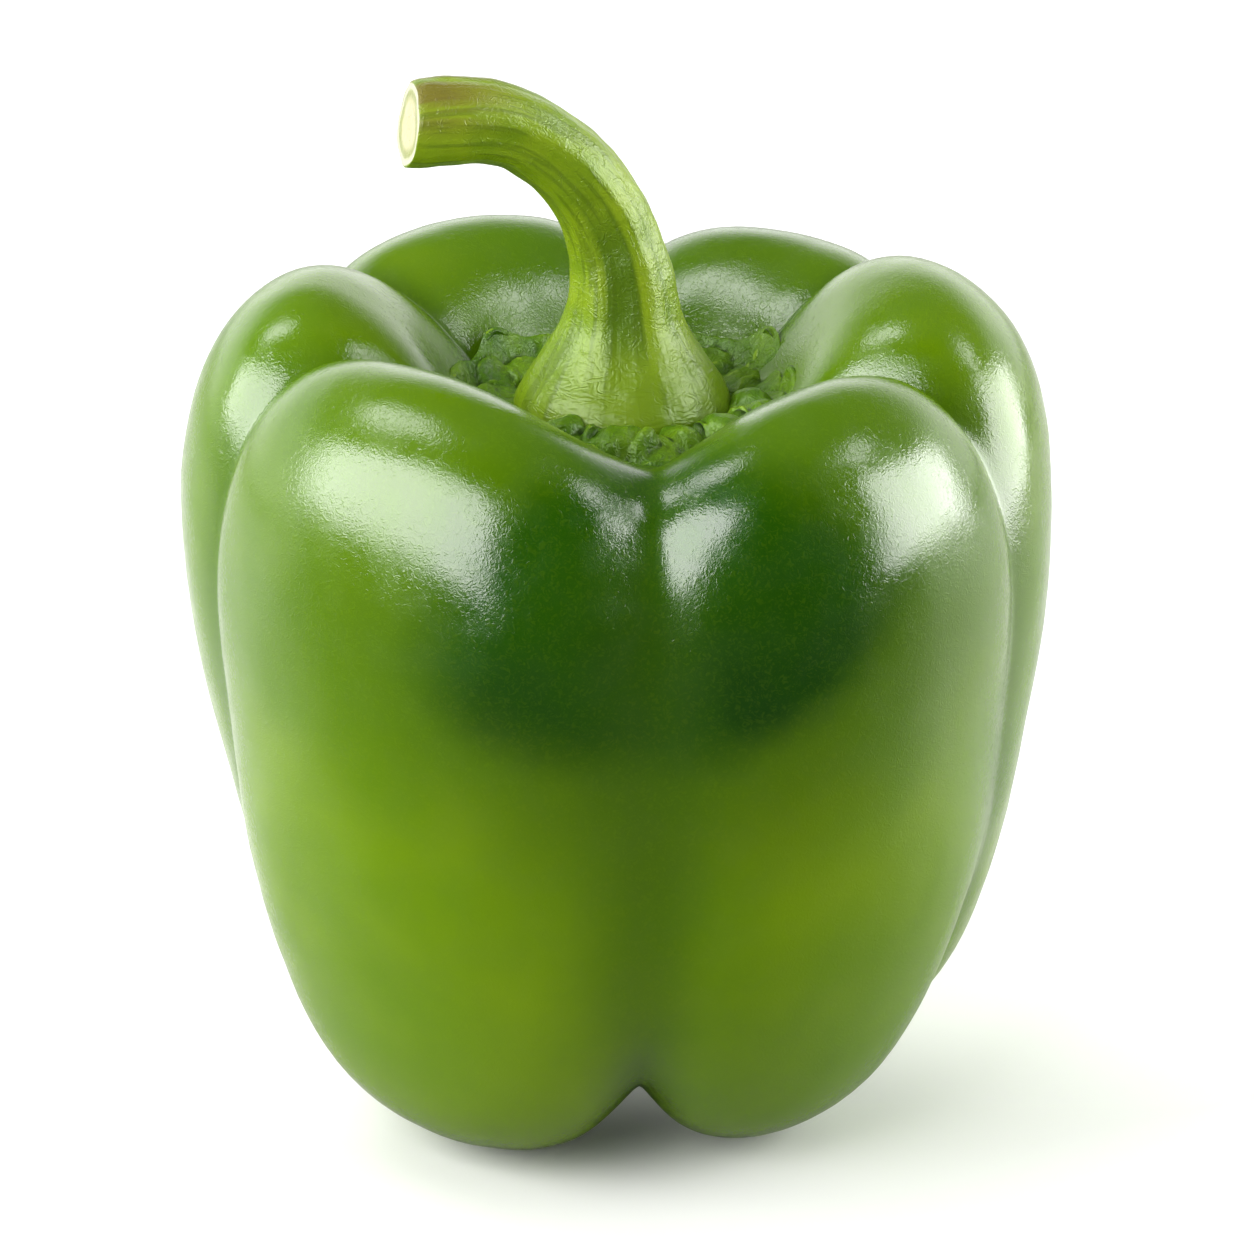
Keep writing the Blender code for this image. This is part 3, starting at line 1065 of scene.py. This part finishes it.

# %% [markdown]
# # The skin of the fruit: painted valley shade, pores and wax
# The valleys get a painted shade: a darker green line where shade falls in them. The skin has
# pores far finer than a millimetre, which both roughen the mirror images and speckle the green a
# little. Over it lies a clear wax, whose gloss changes from place to place as if it had been
# handled.

# %% Painted valley shade, pores and wax
VALLEY_SHADE_GREEN = (0.04, 0.105, 0.003, 1)
PALE_SPECKLE = (0.24, 0.38, 0.004, 1)
# Painted shade: the valleys are darkened in the base colour, as shade falls in them.
valley_shade = times(tree, remap(tree, remembered(tree, "valley"), 0.1, 0.95), 0.5)
skin = blend_colours(tree, valley_shade, skin, VALLEY_SHADE_GREEN)
pores = grain_on(tree, place, 1700.0, 1.2, 0.3)
speckle = times(tree, remap(tree, pores, 0.2, 0.6), 0.06)
skin = blend_colours(tree, speckle, skin, PALE_SPECKLE)
tree.links.new(skin, shader.inputs["Base Color"])
tree.links.new(bump(tree, pores, 0.022 * MM), shader.inputs["Normal"])
wax = noise(tree, place, 320.0, 2.0)
tree.links.new(remap(tree, wax, 0.35, 0.65, 0.15, 0.22), shader.inputs["Roughness"])
shader.inputs["IOR"].default_value = 1.5
put_on(fruit, material)

# %% [markdown]
# # The skin of the stem: ribs, grooves and lines
# The stem is paler and yellower than the fruit, with darker green in its grooves and
# fine lines along its length. The lines come from noise that is drawn out along the
# straightened stem, so they follow the bend. Green from the fruit reaches up into the
# flare, and the grooves pale towards the cut.

# %% Ribs, grooves and lines
FLARE_GREEN = (0.10, 0.20, 0.003, 1)
GROOVE_GREEN = (0.055, 0.125, 0.001, 1)
LINE_GREEN = (0.08, 0.14, 0.004, 1)
RIB_GREENS = (0.26, 0.37, 0.008, 1), (0.17, 0.28, 0.005, 1)
material, tree, shader = new_material("stem_skin")
along = remembered(tree, "straight", "Vector")
drawn_out = {"Vector": along, "Scale": (1.0, 1.0, 0.07)}
stretched = add_node(tree, "ShaderNodeMapping", drawn_out).outputs["Vector"]
_, _, run = split(tree, along)
lines = noise(tree, stretched, 1150.0, 3.0)
rib_colour = two_colours(tree, along, *RIB_GREENS, 180.0, 0.25)
flare_share = remap(tree, run, 0.005, 0.013, 0.45, 0.0)
colour = blend_colours(tree, flare_share, rib_colour, FLARE_GREEN)
in_groove = math_node(tree, "ADD", remembered(tree, "groove"), times(tree, lines, 0.3))
in_groove = remap(tree, in_groove, 0.15, 0.5)
above_flare = remap(tree, run, 0.004, 0.012)
towards_cut = remap(tree, run, 0.016, 0.030, 0.85, 0.05)
groove_share = times(tree, times(tree, in_groove, above_flare), towards_cut)
colour = blend_colours(tree, groove_share, colour, GROOVE_GREEN)
line_share = times(tree, remap(tree, lines, 0.54, 0.64), 0.5)
colour = blend_colours(tree, line_share, colour, LINE_GREEN)
print("stem is", round(lengths[-1] / MM, 1), "mm long along its bend")

# %% [markdown]
# # The skin of the stem: stain and cut
# Near the cut the top of the stem has dried and browned. The cut face is one more zone
# of the same skin: a pale edge, a greener ring and a cream pith, chosen by how far in
# from the edge a point is.

# %% The stain and the cut
BROWN_STAIN = (0.16, 0.11, 0.02, 1)
PALE_EDGE = (0.60, 0.60, 0.42, 1)
RING_GREEN = (0.33, 0.36, 0.13, 1)
CREAM_PITH = (0.58, 0.55, 0.31, 1)
_, _, height = split(tree, place_of(tree))
top_side = remap(tree, height, 0.1015, 0.1065)
near_cut = remap(tree, run, 0.033, 0.043)
blotches = remap(tree, noise(tree, stretched, 500.0, 3.0), 0.30, 0.55)
stain = times(tree, times(tree, top_side, near_cut), blotches)
colour = blend_colours(tree, times(tree, stain, 0.8), colour, BROWN_STAIN)
inwards = remembered(tree, "cut")
pith = blend_colours(tree, remap(tree, inwards, 0.28, 0.5), RING_GREEN, CREAM_PITH)
cut_colour = blend_colours(tree, remap(tree, inwards, 0.12, 0.24), PALE_EDGE, pith)
colour = blend_colours(tree, remap(tree, inwards, 0.01, 0.05), colour, cut_colour)
tree.links.new(colour, shader.inputs["Base Color"])
wrinkles = bump(tree, grain_on(tree, along, 1000.0, 1.6, 0.3), 0.08 * MM)
tree.links.new(bump(tree, lines, 0.25 * MM, 0.8, wrinkles), shader.inputs["Normal"])
shader.inputs["Roughness"].default_value = 0.33
shader.inputs["IOR"].default_value = 1.40
shader.inputs["Specular IOR Level"].default_value = 0.38
put_on(stem, material)

# %% [markdown]
# # The skin of the calyx
# The calyx is a duller, darker green than the fruit. Its colour also carries painted light: it is
# lighter on the tops of its lumps and on its curled rim, which is painted light, and dark in the
# folds, which is painted shade. Pointiness tells the two apart: it is above a half where the mesh
# stands out, and below it where the mesh folds in.

# %% Calyx material
LEAF_GREENS = (0.065, 0.165, 0.003, 1), (0.135, 0.260, 0.005, 1)
FOLD_SHADE_GREEN = (0.012, 0.035, 0.001, 1)
LIT_TOP_GREEN = (0.25, 0.40, 0.02, 1)
material, tree, shader = new_material("calyx_skin")
place = place_of(tree)
pointiness = add_node(tree, "ShaderNodeNewGeometry").outputs["Pointiness"]
greens = two_colours(tree, place, *LEAF_GREENS, 260.0, 0.2)
# Painted shade: very dark green in the folds.
colour = blend_colours(tree, remap(tree, pointiness, 0.42, 0.51), FOLD_SHADE_GREEN, greens)
# Painted light: lighter green on the tops of the lumps and on the rim.
lit_tops = times(tree, remap(tree, pointiness, 0.515, 0.61), 0.85)
tree.links.new(blend_colours(tree, lit_tops, colour, LIT_TOP_GREEN), shader.inputs["Base Color"])
wrinkles = grain_on(tree, place, 900.0, 1.5, 0.4)
tree.links.new(bump(tree, wrinkles, 0.14 * MM), shader.inputs["Normal"])
shader.inputs["Roughness"].default_value = 0.36
shader.inputs["IOR"].default_value = 1.33
shader.inputs["Specular IOR Level"].default_value = 0.35
put_on(calyx, material)

# %% [markdown]
# # The floor
# The pepper stands on a white sheet. A glossy thing shows the room as much as itself,
# and a white sheet in front of it would veil its deep greens. So the sheet fades out
# towards the front, but only in what the skin mirrors and in what lights it from below.
# Seen directly it is evenly pale: away from the pepper a little light of its own lifts
# it, which leaves only a soft shadow close to the foot.

# %% Floor
SHEET_WHITE = (0.92, 0.92, 0.91, 1)
bpy.ops.mesh.primitive_plane_add(size=6.0)
floor = bpy.context.object
floor.name = "floor"
material, tree, shader = new_material("white_floor")
_, forward, _ = split(tree, place_of(tree))
rays = add_node(tree, "ShaderNodeLightPath").outputs
mirrored = times(tree, rays["Is Glossy Ray"], 0.96)
lighting = times(tree, rays["Is Diffuse Ray"], 0.65)
in_front = remap(tree, forward, -0.07, 0.04, 1.0, 0.0)
fade = times(tree, in_front, math_node(tree, "MAXIMUM", mirrored, lighting))
sheet = blend_colours(tree, fade, SHEET_WHITE, (0, 0, 0, 1))
tree.links.new(sheet, shader.inputs["Base Color"])
from_middle = add_node(tree, "ShaderNodeVectorMath", {0: place_of(tree)}, operation="LENGTH")
away = remap(tree, from_middle.outputs["Value"], 0.04, 0.12, 0.02, 0.35)
behind = remap(tree, forward, -0.02, 0.02, 0.02, 0.35)
lifted = times(tree, rays["Is Camera Ray"], math_node(tree, "MAXIMUM", away, behind))
tree.links.new(lifted, shader.inputs["Emission Strength"])
shader.inputs["Emission Color"].default_value = (1, 1, 1, 1)
shader.inputs["Roughness"].default_value = 0.9
shader.inputs["Specular IOR Level"].default_value = 0.1
floor.data.materials.append(material)
print("floor is", round(floor.dimensions.x, 1), "m wide")

# %% [markdown]
# # The soft boxes
# The room is arranged as for any glossy thing. A tall soft box on the left and one on
# the right draw the broad highlights on the shoulders, one overhead lights the far
# lobes, and a small one picks out the inner slopes beside the stem. A soft box is given
# by its two ends as seen from the pepper. It is made of two area lamps in one place, one
# that only lights and one that only shows in the skin, so each can be set by itself.


# %% Soft boxes
MIDDLE_HEIGHT = 0.06  # of the pepper, in metres
AHEAD = 0.01  # the mirrored lamp stands this far in front of the other


def from_pepper(azimuth, elevation, distance):
    """The point that far from the middle of the pepper, in this direction in degrees."""
    around, up = math.radians(azimuth), math.radians(elevation)
    flat = math.cos(up) * distance
    height = MIDDLE_HEIGHT + math.sin(up) * distance
    return Vector((flat * math.cos(around), flat * math.sin(around), height))


def soft_box(name, near_end, far_end, height, brightness, mirrored):
    """A rectangular light between two ends. In the skin it looks as bright as mirrored."""
    ends = from_pepper(*near_end), from_pepper(*far_end)
    across = (ends[1] - ends[0]).normalized()
    middle = (ends[0] + ends[1]) / 2
    away = middle - Vector((0, 0, MIDDLE_HEIGHT))
    away = (away - across * away.dot(across)).normalized()
    turned = Matrix((across, away.cross(across), away)).transposed().to_euler()
    for kind, radiance, ahead in (("lighting", brightness, 0), ("mirrored", mirrored, AHEAD)):
        light = bpy.data.lights.new(name + "_" + kind, "AREA")
        light.shape = "RECTANGLE"
        light.size, light.size_y = (ends[1] - ends[0]).length, height
        light.energy = radiance * math.pi * light.size * light.size_y
        lamp = bpy.data.objects.new(light.name, light)
        lamp.location, lamp.rotation_euler = middle - away * ahead, turned
        lamp.visible_camera = False
        lamp.visible_glossy = kind == "mirrored"
        lamp.visible_diffuse = kind == "lighting"
        bpy.context.scene.collection.objects.link(lamp)
    print(name, "is", round((ends[1] - ends[0]).length, 2), "by", height, "m")


# (azimuth and elevation in degrees, distance in metres) of each end, then the height
soft_box("left_box", (251, 25, 0.45), (175, 21, 0.95), 0.35, 5.4, 12.0)
soft_box("right_box", (-29, 17, 0.45), (24, 9, 0.75), 0.36, 3.8, 12.5)
soft_box("top_box", (146, 60, 0.70), (178, 58, 0.70), 0.26, 5.5, 8.0)
soft_box("inner_box", (-20, 50, 0.70), (8, 53, 0.70), 0.14, 1.5, 8.0)

# %% [markdown]
# # The room
# The sides and the back of the room are white, which edges every lobe with light, and
# the side towards the camera is dark, which keeps the greens deep. The ceiling is
# dim, and dimmer still in what the skin mirrors, where the walls are brighter instead.
# Seen directly, the room is all white.

# %% White room
world = bpy.data.worlds.new("white_room")
bpy.context.scene.world = world
world.use_nodes = True
tree = world.node_tree
_, forward, upward = split(tree, add_node(tree, "ShaderNodeTexCoord").outputs["Generated"])
rays = add_node(tree, "ShaderNodeLightPath").outputs
half_glossy = times(tree, rays["Is Glossy Ray"], 0.5)
above = math_node(tree, "SUBTRACT", 0.55, half_glossy)
overhead = remap(tree, upward, 0.25, 0.65, 1.0, above)
room = times(tree, remap(tree, forward, -0.4, 0.15, 0.02, 1.0), overhead)
room = times(tree, room, math_node(tree, "ADD", 1.0, half_glossy))
room = math_node(tree, "MAXIMUM", room, rays["Is Camera Ray"])
background = tree.nodes["Background"]
tree.links.new(room, background.inputs["Strength"])
background.inputs["Color"].default_value = (1.35, 1.35, 1.35, 1)
print("room has", len(tree.nodes), "nodes")

# %% [markdown]
# # The camera
# The camera looks down on the pepper by 22 degrees, from a bit more than half a metre.
# Its lens follows from how much it should take in: at that distance the view is as wide
# as the pepper with nearly half its width again.

# %% Camera
LOOK_AT = Vector((1.1, -0.4, 48.8)) * MM
ELEVATION = math.radians(22.0)
DISTANCE = 0.62
VIEW_WIDTH = 0.1254  # in metres, at that distance
SENSOR_WIDTH = 36  # in millimetres
back = Vector((0, -math.cos(ELEVATION), math.sin(ELEVATION)))
camera = bpy.data.cameras.new("camera")
camera.sensor_width = SENSOR_WIDTH
camera.lens = SENSOR_WIDTH * DISTANCE / VIEW_WIDTH
viewer = bpy.data.objects.new("camera", camera)
viewer.location = LOOK_AT + back * DISTANCE
viewer.rotation_euler = back.to_track_quat("Z", "Y").to_euler()
bpy.context.scene.collection.objects.link(viewer)
bpy.context.scene.camera = viewer
bpy.context.scene.view_settings.view_transform = "Standard"
bpy.context.scene.view_settings.look = "None"
print("camera stands", round(viewer.location.length, 3), "m away")

# %% [markdown]
# # The end
# The pieces that are seen should fill the box of the plain solids and hardly pass it.
# Last, the scene is brought up to date.

# %% Finish
bpy.context.view_layer.update()
